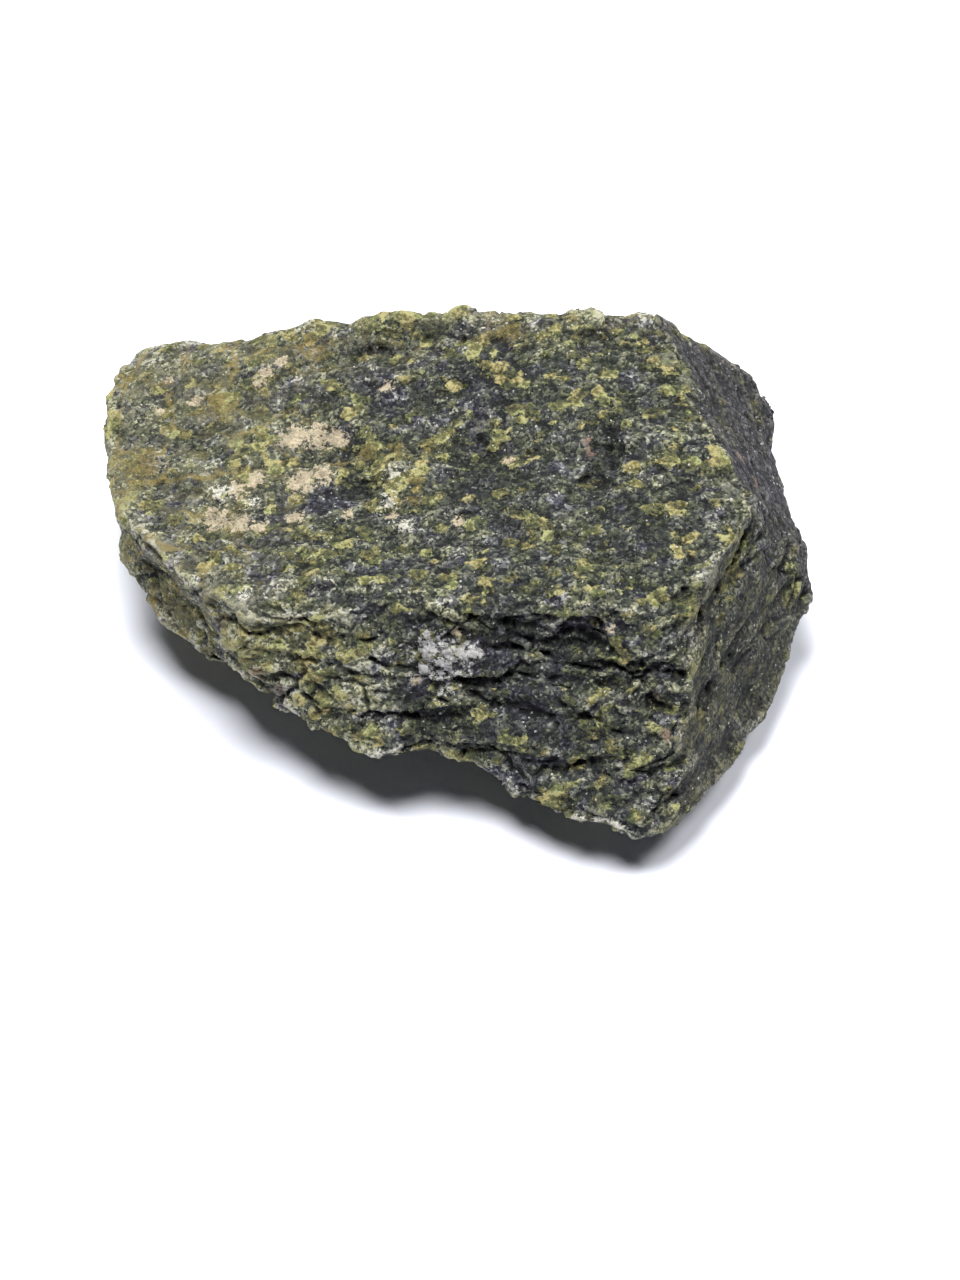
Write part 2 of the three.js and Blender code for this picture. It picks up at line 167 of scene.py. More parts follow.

# Marks on the stone, each a list of places in mm with a reach in mm, and the glassy sliver that hangs along
# the lower edge of the front, painted pale: partly its own white, partly a painted glint.
glint_sliver = [(17, -39, 8), (19.5, -40, 8.5), (22, -40, 9), (24, -41, 8.5), (25, -42, 7.5)]
spots = {
    "chalk": [(-24, 18, 27.5, 4.2), (-20.5, 17.5, 28, 4.0), (-17.5, 17, 28, 3.2), (-22.5, 9, 27.5, 4.0),
              (-19.5, 9.5, 28, 3.0), (-15.5, 2, 27.5, 1.7),
              (-9, 1.5, 28, 1.8), (-35, 4, 24.5, 4.2), (-31.5, 3, 25, 3.4), (-28.5, 1.5, 26, 2.3),
              (-23.5, 3, 26.5, 2.5), (-32.5, 8.5, 26, 3.2), (-29.5, 10, 26.5, 2.6), (-30, 28.5, 28.5, 2.0),
              (-28.5, 30, 29, 2.0), (-26.5, 31.5, 30, 1.7), (-10, 24.5, 31.5, 1.8), (-39.5, 27, 26, 1.9),
              (-44, 32, 25.5, 1.5), (-45, 26, 25, 1.4), (1, -1, 29.5, 1.8), (0.5, -18, 24.5, 1.5),
              (8, 10, 30.5, 1.6), (-5, -23.5, 19.5, 1.5), (22.5, -20.5, 28, 1.2), (29, -27, 20, 1.5)],
    "silver": [(-34.5, 8.5, 25.5, 2.4), (-9.5, 3.5, 28.5, 2.2), (-7, -1, 28.5, 1.8),
               (-30, -11.5, 25.5, 1.6), (-9, 9, 29, 1.6), (-29.5, 6, 26, 1.8)],
    "frost": [(-3.5, -20, 23.5, 4.4), (-0.5, -21, 23, 4.4), (2.5, -20.5, 23, 3.2), (-1, -22.5, 21, 3.6),
              (-4.5, -22.5, 21, 3.2), (-1.5, -24, 19.5, 2.4)],
    "glitter": [(-1.5, 10, 30, 4.5), (0.5, 13.5, 30, 4.5), (-8.5, 6, 29, 7), (19.5, -39, 9.5, 4),
                (29, -35, 14.5, 3), (33, -22, 26, 3), (-12, -21.5, 21, 6)],
    "pink": [(43, 12, 29.5, 2.4), (45.5, 9.5, 26, 2.4), (-25.5, -21, 14, 2.0), (-28.5, -19, 16, 2.6),
             (20, 12, 33, 1.6), (20.5, 10, 32.5, 1.4), (31, -31.5, 17.5, 1.8)],
    "ochre": [(-5.5, 7, 29.5, 1.6), (-5.5, 5.5, 29, 1.6), (-6, 3.5, 29, 1.6), (-8, 3.5, 28.5, 1.6),
              (-17, 12, 28, 2.6), (-13, 13, 28.5, 2.8), (-8.5, 13, 29.5, 2.6), (-3.5, 13, 30, 2.2),
              (-36.5, 25.5, 26.5, 5), (-47.5, 15.5, 24, 6), (-21, 32.5, 31.5, 4), (8.5, 32, 36, 4)],
    "bruise": [(-31.5, -13.5, 25, 5), (-35.5, -10.5, 24.5, 3.5), (37.5, -12.5, 31, 2.4), (4, 16.5, 32, 2.4),
               (32.5, 27.5, 35, 3.5), (35, 23, 34, 3), (40.5, 2.5, 32.5, 3), (20.5, -39.5, 9.5, 2.6)],
    "moss": [(42.5, -4, 29, 3.5), (41, -8, 27.5, 3), (39.5, -13.5, 24, 4), (36, -21.5, 23, 3.5),
             (38, -17, 21, 3), (44, -3.5, 27, 3)],
    # Painted light: the front left is painted paler, as if lit from that side.
    "pale": [(-26, -18, 19.5, 15), (-13, -23.5, 17.5, 10), (-37.5, -8.5, 16.5, 6)],
    # Darker ground, mostly the stone's own darker matrix; the spot at (-15.5, 8, 28) is painted shade in the
    # hollow beside the first chalk patch.
    "dark": [(8.5, -19, 25, 9), (2.5, -23, 20, 9), (16.5, -21.5, 23.5, 8), (12.5, -29, 16.5, 8),
             (26.5, -4.5, 32, 9), (-5, -25, 17.5, 7), (6.5, 6, 30.5, 9), (22.5, 12.5, 32.5, 7),
             (-15.5, 8, 28, 3.5), (5.5, 23, 34, 8), (-33.5, -14.5, 19, 5), (-43, 0, 17, 8)],
}


def mark(mesh, name, values):
    """Keeps one number for each point of the mesh under a name that the material reads."""
    kept = mesh.attributes.get(name) or mesh.attributes.new(name, "FLOAT", "POINT")
    kept.data.foreach_set("value", values.astype(np.float32))


def ease(values, low, high):
    """Runs smoothly from 0 at the low value to 1 at the high one."""
    share = np.clip((values - low) / (high - low), 0, 1)
    return share * share * (3 - 2 * share)


def mark_skin(mesh):
    """Marks the patches, the weathered end, the front that cuts the layers, the slick rear face and
    the waxy right-hand one."""
    points, outward = places_of(mesh)
    for name, places in spots.items():
        strength = np.zeros(len(points))
        for *place, reach in places:
            away = np.linalg.norm(points - on_skin(points, place), axis=1)
            strength = np.maximum(strength, 1 - away / reach)
        # The silver mark also runs along the glassy sliver, partly its own white and partly a painted glint.
        if name == "silver":
            line = [on_skin(points, np.array(place)) for place in glint_sliver]
            strength = np.maximum(strength, 1 - distance_to_line(points, line) / GLINT_SLIVER_WIDTH)
        mark(mesh, name, strength)

    # Each of these is a band of places in mm, or of how far a face is turned, that fades in over it.
    towards_left = ease(-points[:, 0] + 0.15 * points[:, 1], 14, 46)
    along_rear = ease(points[:, 1] - 0.1 * points[:, 0], 26, 38) * ease(points[:, 2], 22, 30)
    mark(mesh, "weathered", np.maximum(towards_left, 0.7 * along_rear))
    mark(mesh, "cut", ease(-outward[:, 1], 0.35, 0.6) * ease(points[:, 0], -16, -2))
    mark(mesh, "slick", ease(outward[:, 0] + 0.35 * outward[:, 1], 0.45, 0.7) * ease(points[:, 1], -5, 2))
    towards_right = outward[:, 0] - 0.25 * outward[:, 1] + 0.1 * wander(points, size=4.0, phase=1.3)[:, 0]
    mark(mesh, "waxy", ease(towards_right, 0.5, 0.75) * ease(-points[:, 1], 0, 5))


def mark_edges(mesh, name, rounds):
    """Marks how far each point stands out from the average of its surroundings, in mm. More rounds
    take in wider surroundings."""
    points, outward = places_of(mesh)
    ends = np.empty(2 * len(mesh.edges), int)
    mesh.edges.foreach_get("vertices", ends)
    start, end = ends.reshape(-1, 2).T
    one_way, other_way = np.concatenate([start, end]), np.concatenate([end, start])
    neighbours = np.maximum(np.bincount(one_way, minlength=len(points)), 1)
    smooth = points.copy()
    for _ in range(rounds):
        for axis in range(3):
            total = np.bincount(one_way, weights=smooth[other_way, axis], minlength=len(points))
            smooth[:, axis] = total / neighbours
    mark(mesh, name, ((points - smooth) * outward).sum(axis=1))


mark_skin(stone.data)


def linear(colour):
    """An sRGB hex colour as linear red, green, blue and alpha."""
    parts = [int(colour[i:i + 2], 16) / 255 for i in (1, 3, 5)]
    return tuple(c / 12.92 if c <= 0.04045 else ((c + 0.055) / 1.055) ** 2.4 for c in parts) + (1.0,)


def add(tree, kind, links=None, output=0, stops=None, **settings):
    """Adds a node, sets or links its inputs, and gives one of its outputs. Stops are a colour ramp's
    places with their hex colours."""
    made = tree.nodes.new(kind)
    for name, value in settings.items():
        setattr(made, name, value)
    for socket, source in (links or {}).items():
        if isinstance(source, bpy.types.NodeSocket):
            tree.links.new(source, made.inputs[socket])
        else:
            made.inputs[socket].default_value = source
    if stops:
        ramp = made.color_ramp
        while len(ramp.elements) < len(stops):
            ramp.elements.new(1.0)
        for element, (place, colour) in zip(ramp.elements, stops):
            element.position = place
            element.color = linear(colour)
    return made.outputs[output] if made.outputs else made


def bedding(tree, place):
    """A place in mm, turned so that its third number runs across the layers."""
    in_mm = add(tree, "ShaderNodeVectorMath", {0: place, "Scale": 1 / MM}, operation="SCALE")
    return add(tree, "ShaderNodeVectorRotate", {"Vector": in_mm, "Rotation": TURN_TO_LAYERS},
               rotation_type="EULER_XYZ")


OLIVINE_WIDTH = 1.5  # one altered grain, in mm
FLECK_WIDTH = 2.6  # one fleck of such grains
CLUMP_WIDTH = 9  # one clump of flecks


def flecks(tree, bed):
    """How far inside an olive fleck a place is, and the tones and distance of its grain. Flecks are
    1 to 4 mm long and made of ragged grains in clumps."""
    flat = add(tree, "ShaderNodeVectorMath", {0: bed, 1: (0.8, 1.0, 1.3)}, operation="MULTIPLY")
    stir = add(tree, "ShaderNodeTexNoise", {"Vector": flat, "Scale": 1 / 1.2, "Detail": 4.0,
                                            "Roughness": 0.65}, "Color")
    ragged = add(tree, "ShaderNodeVectorMath", {0: stir, 1: (1.9, 1.9, 1.9), 2: flat},
                 operation="MULTIPLY_ADD")
    olivine = add(tree, "ShaderNodeTexVoronoi", {"Vector": ragged, "Scale": 1 / OLIVINE_WIDTH}).node.outputs
    body = add(tree, "ShaderNodeTexNoise", {"Vector": olivine["Position"], "Scale": 1 / FLECK_WIDTH,
                                            "Detail": 1.0})
    clumps = add(tree, "ShaderNodeTexNoise", {"Vector": flat, "Scale": 1 / CLUMP_WIDTH, "Detail": 1.0})
    own = add(tree, "ShaderNodeSeparateXYZ", {0: olivine["Color"]}).node.outputs
    inside = add(tree, "ShaderNodeMath", {0: clumps, 1: 0.45, 2: body}, operation="MULTIPLY_ADD")
    inside = add(tree, "ShaderNodeMath", {0: own[0], 1: 0.10, 2: inside}, operation="MULTIPLY_ADD")
    inside = add(tree, "ShaderNodeMath", {0: olivine["Distance"], 1: -0.10, 2: inside},
                 operation="MULTIPLY_ADD")
    return inside, own, olivine["Distance"]


relief_sizes = {  # all in mm, apart from the slopes and the shares by which a worn face is calmer
    "Terrace Width": 6.0, "Terrace Rise": 0.30, "Terrace Swing": 2.2,
    "Chip Width": 2.3, "Chip Slope": 0.32,
    "Block Width": 6.4, "Block Step": 1.0, "Block Slope": 0.42,
    "Gap Width": 0.9, "Gap Depth": 0.8,
    "Flake Thickness": 1.4, "Flake Depth": 0.3,
    "Rubble Width": 2.4, "Rubble Height": 0.38,
    "Fleck Height": 0.16,
    "Pit Width": 2.4, "Pit Depth": 0.36,
    "Grain Width": 0.9, "Grain Height": 0.15,
    "Slick Calm": 0.7, "Waxy Calm": 0.84, "Weathered Calm": 0.55,
}
BEND_WIDTH = 7  # how long a bend of the flakes is, in mm
BEND_REACH = 6.0  # and how far it carries them across the layers
PATCH_WIDTH = 5  # one patch of flakes, or of open gaps between blocks
FLAT_FOOT = 0.05 * MM  # no relief below this height
FULL_RELIEF = 2.0 * MM  # and all of it above this one


def relief_tree():
    """Breaks a skin into thin terraces, chips, blocks with gaps between them, flakes along the layers,
    rubble and pits."""
    tree = bpy.data.node_groups.new("broken surface", "GeometryNodeTree")
    tree.interface.new_socket("Geometry", in_out="INPUT", socket_type="NodeSocketGeometry")
    for name, size in relief_sizes.items():
        given_size = tree.interface.new_socket(name, in_out="INPUT", socket_type="NodeSocketFloat")
        given_size.default_value = size
    tree.interface.new_socket("Finish", in_out="INPUT", socket_type="NodeSocketMaterial")
    tree.interface.new_socket("Geometry", in_out="OUTPUT", socket_type="NodeSocketGeometry")
    given = add(tree, "NodeGroupInput").node.outputs
    place = add(tree, "GeometryNodeInputPosition")
    outward = add(tree, "GeometryNodeInputNormal")
    bed = bedding(tree, place)
    flat = add(tree, "ShaderNodeVectorMath", {0: bed, 1: (0.7, 1.0, 1.5)}, operation="MULTIPLY")

    # Steep: 1 where a face cuts straight through the layers, 0 where it lies along them.
    facing = add(tree, "ShaderNodeVectorMath", {0: outward, 1: LAYERS_ACROSS}, "Value",
                 operation="DOT_PRODUCT")
    facing = add(tree, "ShaderNodeMath", {0: facing}, operation="ABSOLUTE")
    steep = add(tree, "ShaderNodeMapRange", {"Value": facing, "From Min": 0.92, "From Max": 0.6})

    # Terraces: a slow swell cut into steps, as thin layers break off one after another.
    slow = add(tree, "ShaderNodeVectorMath", {0: flat, 1: given["Terrace Width"]}, operation="DIVIDE")
    swell = add(tree, "ShaderNodeTexNoise", {"Vector": slow, "Scale": 1.0, "Detail": 3.0, "Roughness": 0.55})
    swing = add(tree, "ShaderNodeMath", {0: given["Terrace Swing"], 1: given["Terrace Rise"]},
                operation="DIVIDE")
    level = add(tree, "ShaderNodeMath", {0: swell, 1: swing}, operation="MULTIPLY")
    tread = add(tree, "ShaderNodeMath", {0: level}, operation="FLOOR")
    part = add(tree, "ShaderNodeMath", {0: level}, operation="FRACT")
    riser = add(tree, "ShaderNodeMapRange", {"Value": part, "From Min": 0.55, "From Max": 1.0},
                interpolation_type="SMOOTHSTEP")
    steps = add(tree, "ShaderNodeMath", {0: tread, 1: riser}, operation="ADD")
    middle = add(tree, "ShaderNodeMath", {0: swing, 1: 0.5}, operation="MULTIPLY")
    steps = add(tree, "ShaderNodeMath", {0: steps, 1: middle}, operation="SUBTRACT")
    terraces = add(tree, "ShaderNodeMath", {0: steps, 1: given["Terrace Rise"]}, operation="MULTIPLY")

    # Chips and blocks: every cell is a small plane that leans its own way. Blocks are wider and lie
    # only where a face cuts through the layers, and each is set in or out as well. They come last,
    # so that the gaps further down open between them.
    sway = add(tree, "ShaderNodeTexNoise", {"Vector": flat, "Scale": 1 / 1.6, "Detail": 2.0}, "Color")
    swayed = add(tree, "ShaderNodeVectorMath", {0: sway, 1: (1.1, 1.1, 1.1), 2: flat},
                 operation="MULTIPLY_ADD")
    broken = {}
    for kind in ("Chip", "Block"):
        cell_place = add(tree, "ShaderNodeVectorMath", {0: swayed, 1: given[kind + " Width"]},
                         operation="DIVIDE")
        cell = add(tree, "ShaderNodeTexVoronoi", {"Vector": cell_place, "Scale": 1.0}, "Color")
        lean = add(tree, "ShaderNodeVectorMath", {0: cell, 1: (0.5, 0.5, 0.5)}, operation="SUBTRACT")
        from_middle = add(tree, "ShaderNodeVectorMath", {0: cell_place, 1: cell.node.outputs["Position"]},
                          operation="SUBTRACT")
        leaning = add(tree, "ShaderNodeVectorMath", {0: lean, 1: from_middle}, "Value",
                      operation="DOT_PRODUCT")
        size = add(tree, "ShaderNodeMath", {0: given[kind + " Width"], 1: given[kind + " Slope"]},
                   operation="MULTIPLY")
        broken[kind] = add(tree, "ShaderNodeMath", {0: leaning, 1: size}, operation="MULTIPLY")
    set_in = add(tree, "ShaderNodeSeparateXYZ", {0: lean}, "X")
    blocks = add(tree, "ShaderNodeMath", {0: set_in, 1: given["Block Step"], 2: broken["Block"]},
                 operation="MULTIPLY_ADD")
    blocks = add(tree, "ShaderNodeMath", {0: blocks, 1: steep}, operation="MULTIPLY")

    # Flakes: a saw-tooth across the layers, only where a face cuts steeply through them.
    bend = add(tree, "ShaderNodeTexNoise", {"Vector": bed, "Scale": 1 / BEND_WIDTH, "Detail": 4.0,
                                            "Roughness": 0.6})
    across = add(tree, "ShaderNodeSeparateXYZ", {0: bed}, "Z")
    height = add(tree, "ShaderNodeMath", {0: bend, 1: BEND_REACH, 2: across}, operation="MULTIPLY_ADD")
    layer = add(tree, "ShaderNodeMath", {0: height, 1: given["Flake Thickness"]}, operation="DIVIDE")
    tooth = add(tree, "ShaderNodeMath", {0: layer}, operation="FRACT")
    tooth = add(tree, "ShaderNodeMapRange", {"Value": tooth, "To Min": 0.4, "To Max": -0.6})
    patchy = add(tree, "ShaderNodeTexNoise", {"Vector": flat, "Scale": 1 / PATCH_WIDTH, "Detail": 1.0})
    shown = add(tree, "ShaderNodeMapRange", {"Value": patchy, "From Min": 0.46, "From Max": 0.62})
    shown = add(tree, "ShaderNodeMath", {0: shown, 1: steep}, operation="MULTIPLY")
    flakes = add(tree, "ShaderNodeMath", {0: tooth, 1: given["Flake Depth"]}, operation="MULTIPLY")
    flakes = add(tree, "ShaderNodeMath", {0: flakes, 1: shown}, operation="MULTIPLY")

    # Gaps: the dark cracks between blocks, open here and there.
    edge = add(tree, "ShaderNodeTexVoronoi", {"Vector": cell_place, "Scale": 1.0}, "Distance",
               feature="DISTANCE_TO_EDGE")
    reach = add(tree, "ShaderNodeMath", {0: given["Gap Width"], 1: given["Block Width"]}, operation="DIVIDE")
    reach = add(tree, "ShaderNodeMath", {0: reach, 1: 0.5}, operation="MULTIPLY")
    gap = add(tree, "ShaderNodeMapRange", {"Value": edge, "From Min": reach, "From Max": 0.0},
              interpolation_type="SMOOTHSTEP")
    open_here = add(tree, "ShaderNodeMapRange", {"Value": patchy, "From Min": 0.60, "From Max": 0.48})
    gap = add(tree, "ShaderNodeMath", {0: gap, 1: open_here}, operation="MULTIPLY")
    gap = add(tree, "ShaderNodeMath", {0: gap, 1: steep}, operation="MULTIPLY")
    gaps = add(tree, "ShaderNodeMath", {0: gap, 1: given["Gap Depth"]}, operation="MULTIPLY")

    # Rubble: small lumps on the steep faces.
    rubble_place = add(tree, "ShaderNodeVectorMath", {0: flat, 1: given["Rubble Width"]}, operation="DIVIDE")
    rubble = add(tree, "ShaderNodeTexNoise", {"Vector": rubble_place, "Scale": 1.0, "Detail": 3.0,
                                              "Roughness": 0.6})
    rubble = add(tree, "ShaderNodeMath", {0: rubble, 1: 0.5}, operation="SUBTRACT")
    rubble = add(tree, "ShaderNodeMath", {0: rubble, 1: given["Rubble Height"]}, operation="MULTIPLY")
    rubble = add(tree, "ShaderNodeMath", {0: rubble, 1: steep}, operation="MULTIPLY")

    # Olive flecks are harder than the dark ground and stand a little proud of it.
    inside, *_ = flecks(tree, bed)
    proud = add(tree, "ShaderNodeMapRange", {"Value": inside, "From Min": 0.79, "From Max": 0.84},
                interpolation_type="SMOOTHSTEP")
    proud = add(tree, "ShaderNodeMath", {0: proud, 1: given["Fleck Height"]}, operation="MULTIPLY")

    # Pits, where a grain or a chip has dropped out.
    pit_place = add(tree, "ShaderNodeVectorMath", {0: flat, 1: given["Pit Width"]}, operation="DIVIDE")
    pit = add(tree, "ShaderNodeTexNoise", {"Vector": pit_place, "Scale": 1.0, "Detail": 2.0})
    pit = add(tree, "ShaderNodeMapRange", {"Value": pit, "From Min": 0.63, "From Max": 0.76},
              interpolation_type="SMOOTHSTEP")
    pits = add(tree, "ShaderNodeMath", {0: pit, 1: given["Pit Depth"]}, operation="MULTIPLY")

    # The coarse grain that a finger feels.
    grain_place = add(tree, "ShaderNodeVectorMath", {0: flat, 1: given["Grain Width"]}, operation="DIVIDE")
    grain = add(tree, "ShaderNodeTexNoise", {"Vector": grain_place, "Scale": 1.0, "Detail": 2.0})
    grain = add(tree, "ShaderNodeMath", {0: grain, 1: 0.5}, operation="SUBTRACT")
    grain = add(tree, "ShaderNodeMath", {0: grain, 1: given["Grain Height"]}, operation="MULTIPLY")

    lift = terraces
    for more in (broken["Chip"], blocks, flakes, rubble, proud, grain):
        lift = add(tree, "ShaderNodeMath", {0: lift, 1: more}, operation="ADD")
    for less in (pits, gaps):
        lift = add(tree, "ShaderNodeMath", {0: lift, 1: less}, operation="SUBTRACT")

    # The slick rear face, the waxy right-hand one and the worn end are calmer, and the foot stays flat.
    for name in ("Slick", "Waxy", "Weathered"):
        calm = add(tree, "GeometryNodeInputNamedAttribute", {"Name": name.lower()}, "Attribute")
        calm = add(tree, "ShaderNodeMath", {0: calm, 1: given[name + " Calm"]}, operation="MULTIPLY")
        calm = add(tree, "ShaderNodeMath", {0: 1.0, 1: calm}, operation="SUBTRACT")
        lift = add(tree, "ShaderNodeMath", {0: lift, 1: calm}, operation="MULTIPLY")
    above = add(tree, "ShaderNodeSeparateXYZ", {0: place}, "Z")
    above = add(tree, "ShaderNodeMapRange", {"Value": above, "From Min": FLAT_FOOT, "From Max": FULL_RELIEF})
    lift = add(tree, "ShaderNodeMath", {0: lift, 1: above}, operation="MULTIPLY")
    lift = add(tree, "ShaderNodeMath", {0: lift, 1: MM}, operation="MULTIPLY")
    move = add(tree, "ShaderNodeVectorMath", {0: outward, "Scale": lift}, operation="SCALE")
    moved = add(tree, "GeometryNodeSetPosition", {"Geometry": given["Geometry"], "Offset": move})
    real = add(tree, "GeometryNodeRealizeInstances", {0: moved})
    finished = add(tree, "GeometryNodeSetMaterial", {0: real, "Material": given["Finish"]})
    add(tree, "NodeGroupOutput", {0: finished})
    return tree


# Colours of the rock. Each run of tones goes from its darkest grain to its palest.
BLUE_BLACK = [(0.0, "#08090f"), (0.25, "#1c1c26"), (0.46, "#30303b"),
              (0.66, "#515258"), (0.84, "#7e7f81"), (1.0, "#b5b4af")]
DARK_GREEN = [(0.0, "#0b0f0c"), (0.25, "#1e231d"), (0.46, "#363b2f"),
              (0.66, "#555845"), (0.84, "#797a62"), (1.0, "#a3a287")]
OLIVE = [(0.0, "#1c201a"), (0.25, "#34382c"), (0.5, "#51523b"), (0.75, "#6c6a44"), (1.0, "#9d9970")]
SLICK_GREY = [(0.0, "#0f0f12"), (0.35, "#232326"), (0.6, "#3c3a3c"), (0.8, "#5a5755"), (1.0, "#98928c")]
WAXY_BROWN = [(0.0, "#15171a"), (0.3, "#2b2c2a"), (0.55, "#494837"), (0.8, "#6b6850"), (1.0, "#959078")]
WARM_TINT = "#fff4ea"
GREEN_TINT = "#f2fff4"
RUSTY_VEIN = "#7c6f42"
OLIVE_TAN = "#6e6b55"
PAINTED_GLINT_WHITE = "#a8a8a2"

# Sizes of its patterns, in mm. The fine grain is 0.2 to 0.4 mm in the real stone, and is drawn at
# 0.4 mm so that it shows.
FINE_GRAIN = 0.4
MOTTLE = 1.5
CLOUD = 5.0
VEIN_SPACING = 9
STAIN = 4.0
TEAR = 0.8

# The patches: how strongly noise and reach shape each, where it starts and is full, how much of the
# rock it covers, and its two colours.
PATCHES = {
    "ochre": (2.4, 0.7, 1.50, 1.75, 0.7, "#544b26", "#837547"),
    "pink": (1.2, 0.5, 0.85, 1.05, 0.7, "#6a554a", "#927a6c"),
    "bruise": (2.0, 0.6, 1.25, 1.55, 0.65, "#5c5d52", "#888877"),
    "chalk": (4.2, 1.6, 2.90, 3.00, 1.0, "#958b77", "#b5a990"),
    "silver": (6.0, 1.2, 3.60, 3.75, 1.0, "#a9a89e", "#c8c6ba"),
    "frost": (6.0, 1.3, 3.75, 3.95, 0.95, "#868687", "#aeadab"),
}


def serpentinite():
    """Raw serpentinite, broken by hammer: dull and waxy, dark, grainy and flecked with olive."""
    material = bpy.data.materials.new("serpentinite_hammer_broken")
    material.use_nodes = True
    tree = material.node_tree
    tree.nodes.clear()
    place = add(tree, "ShaderNodeTexCoord", output="Object")
    bed = bedding(tree, place)
    read = {name: add(tree, "ShaderNodeAttribute", output="Fac", attribute_name=name)
            for name in list(spots) + ["weathered", "cut", "slick", "waxy", "standing", "rim"]}

    # Raised places are rubbed paler, up to a limit, and also get a painted highlight; hollows are darker with
    # painted shade.
    wear_highlight_and_shade = add(tree, "ShaderNodeMapRange", {"Value": read["standing"], "From Min": -0.6, "From Max": 0.2,
                                              "To Min": -0.6, "To Max": 0.2})
    # Painted highlight, with some wear, along the rims of whole faces.
    rim = add(tree, "ShaderNodeMapRange", {"Value": read["rim"], "From Min": 0.4, "From Max": 1.0})

    # Fine grains of the dark ground, mottled and clouded.
    stir = add(tree, "ShaderNodeTexNoise", {"Vector": bed, "Scale": 1 / 0.5, "Detail": 1.0}, "Color")
    stirred = add(tree, "ShaderNodeVectorMath", {0: stir, 1: (0.35, 0.35, 0.35), 2: bed},
                  operation="MULTIPLY_ADD")
    grain = add(tree, "ShaderNodeTexVoronoi", {"Vector": stirred, "Scale": 1 / FINE_GRAIN}, "Color")
    grain_tones = add(tree, "ShaderNodeSeparateColor", {0: grain}).node.outputs
    drawn_out = add(tree, "ShaderNodeVectorMath", {0: bed, 1: (0.6, 1.0, 1.4)}, operation="MULTIPLY")
    mottle = add(tree, "ShaderNodeTexNoise", {"Vector": drawn_out, "Scale": 1 / MOTTLE, "Detail": 5.0,
                                              "Roughness": 0.75})
    clouds = add(tree, "ShaderNodeTexNoise", {"Vector": bed, "Scale": 1 / CLOUD, "Detail": 2.0})
    tone = add(tree, "ShaderNodeMath", {0: clouds, 1: 0.6, 2: -0.565}, operation="MULTIPLY_ADD")
    # The ground's tone also takes painted highlight and shade from the relief, painted highlight along the
    # rims, painted light on the front left and painted shade in one hollow.
    for source, share in ((mottle, 0.85), (grain_tones[0], 0.62), (wear_highlight_and_shade, 0.7), (read["dark"], -0.22),
                          (read["weathered"], 0.12), (read["pale"], 0.3), (rim, 0.22),
                          (read["cut"], -0.03)):
        tone = add(tree, "ShaderNodeMath", {0: source, 1: share, 2: tone}, operation="MULTIPLY_ADD")
    ground = add(tree, "ShaderNodeValToRGB", {0: tone}, stops=BLUE_BLACK)

    # The ground turns dark green around the flecks. The flecks are grains of altered olivine, each
    # with its own olive, lighter where they meet.
    inside, own, from_middle = flecks(tree, bed)
    uneven = add(tree, "ShaderNodeTexNoise", {"Vector": bed, "Scale": 1 / 0.7, "Detail": 4.0,
                                              "Roughness": 0.7})
    # Painted light on the front left also brings out a few more flecks.
    for source, share in ((read["weathered"], 0.04), (read["cut"], -0.02), (read["dark"], -0.08),
                          (read["slick"], -0.14), (read["waxy"], -0.06), (read["moss"], 0.15),
                          (grain_tones[1], 0.04), (read["standing"], 0.08), (read["pale"], 0.05),
                          (uneven, 0.2)):
        inside = add(tree, "ShaderNodeMath", {0: source, 1: share, 2: inside}, operation="MULTIPLY_ADD")
    green = add(tree, "ShaderNodeValToRGB", {0: tone}, stops=DARK_GREEN)
    around = add(tree, "ShaderNodeMapRange", {"Value": inside, "From Min": 0.58, "From Max": 0.88})
    colour = add(tree, "ShaderNodeMix", {0: around, 6: ground, 7: green}, 2, data_type="RGBA")
    fleck_tone = add(tree, "ShaderNodeMath", {0: uneven, 1: 1.8, 2: -0.97}, operation="MULTIPLY_ADD")
    # The flecks' tone also takes painted highlight and shade from the relief and painted highlight along the
    # rims.
    for source, share in ((own[1], 0.5), (grain_tones[1], 0.3), (from_middle, 0.6),
                          (read["cut"], -0.12), (wear_highlight_and_shade, 0.8), (rim, 0.2)):
        fleck_tone = add(tree, "ShaderNodeMath", {0: source, 1: share, 2: fleck_tone},
                         operation="MULTIPLY_ADD")
    olive = add(tree, "ShaderNodeValToRGB", {0: fleck_tone}, stops=OLIVE)
    tint = add(tree, "ShaderNodeMix", {0: own[2], 6: linear(WARM_TINT), 7: linear(GREEN_TINT)}, 2,
               data_type="RGBA")
    olive = add(tree, "ShaderNodeMix", {0: 1.0, 6: olive, 7: tint}, 2, data_type="RGBA",
                blend_type="MULTIPLY")
    fleck = add(tree, "ShaderNodeMapRange", {"Value": inside, "From Min": 0.92, "From Max": 0.965})
    colour = add(tree, "ShaderNodeMix", {0: fleck, 6: colour, 7: olive}, 2, data_type="RGBA")

